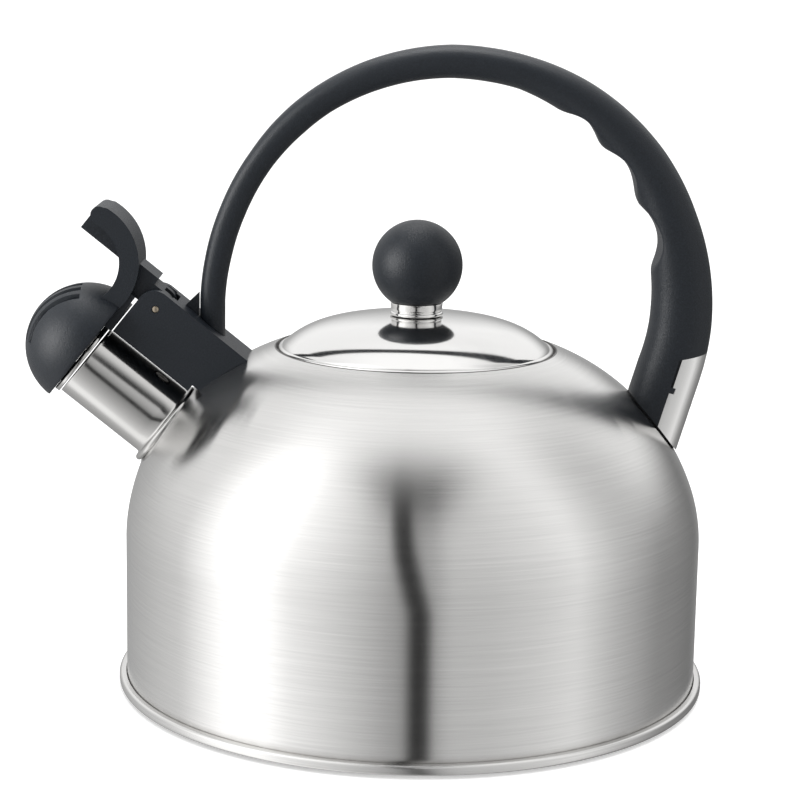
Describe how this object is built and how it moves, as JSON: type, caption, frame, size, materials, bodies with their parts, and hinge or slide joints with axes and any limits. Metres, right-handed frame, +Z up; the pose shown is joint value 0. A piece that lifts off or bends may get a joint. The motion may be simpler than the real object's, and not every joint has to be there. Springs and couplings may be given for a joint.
{
  "type": "stovetop whistling kettle",
  "caption": "Domed steel kettle with a flat hemmed base, lift-off lid with a ball knob, arched grip over the top and a short spout under a sprung whistle cap with a thumb lever.",
  "frame": {"origin": "centre of the flat base, on the face it rests on", "axes": "+Z up along the body's axis, -X towards the spout, +X towards the rear of the handle, and the plane y = 0 is the object's plane of symmetry"},
  "size_m": [0.2258, 0.195, 0.2113],
  "materials": {
    "satin_steel": "fine brushing round the body",
    "polished_steel": "mirror polished",
    "plain_steel": "plain",
    "black_plastic": "fine matte grain",
    "black_rubber": "matte",
    "brass": "turned"
  },
  "bodies": {
    "kettle": {"body_shell": "satin_steel", "base_plate": "satin_steel", "spout_tube": "polished_steel", "spout_bracket": "black_plastic", "bracket_tab": "plain_steel", "bracket_screw": "plain_steel", "hinge_pin": "brass", "lever_spring": "plain_steel", "handle_grip": "black_plastic", "handle_front_screw": "plain_steel", "rear_tab": "plain_steel", "rear_pad": "black_rubber", "rear_trim": "polished_steel", "rear_screw": "polished_steel"},
    "whistle": {"whistle_cap": "black_plastic", "thumb_lever": "black_plastic", "whistle_rim": "polished_steel", "whistle_plate_lower": "polished_steel", "whistle_plate_upper": "polished_steel", "cap_screw": "plain_steel"},
    "lid": {"lid_cover": "polished_steel", "lid_plug": "satin_steel", "lid_knob": "black_plastic", "knob_collar": "polished_steel", "knob_insert": "brass", "knob_screw": "plain_steel", "knob_washer": "plain_steel"}
  },
  "joints": [
    {"name": "whistle_hinge", "type": "hinge", "parent": "kettle", "child": "whistle", "pos_m": [-0.08455, 0, 0.12531], "axis": [0, 1, 0], "range_deg": [0, 45], "stiffness_Nm_per_rad": 0.02, "springref_deg": -34.38, "deforming": ["lever_spring"]},
    {"name": "lid_lift", "type": "slide", "parent": "kettle", "child": "lid", "axis": [0, 0, 1], "range_m": [0, 0.04]}
  ]
}
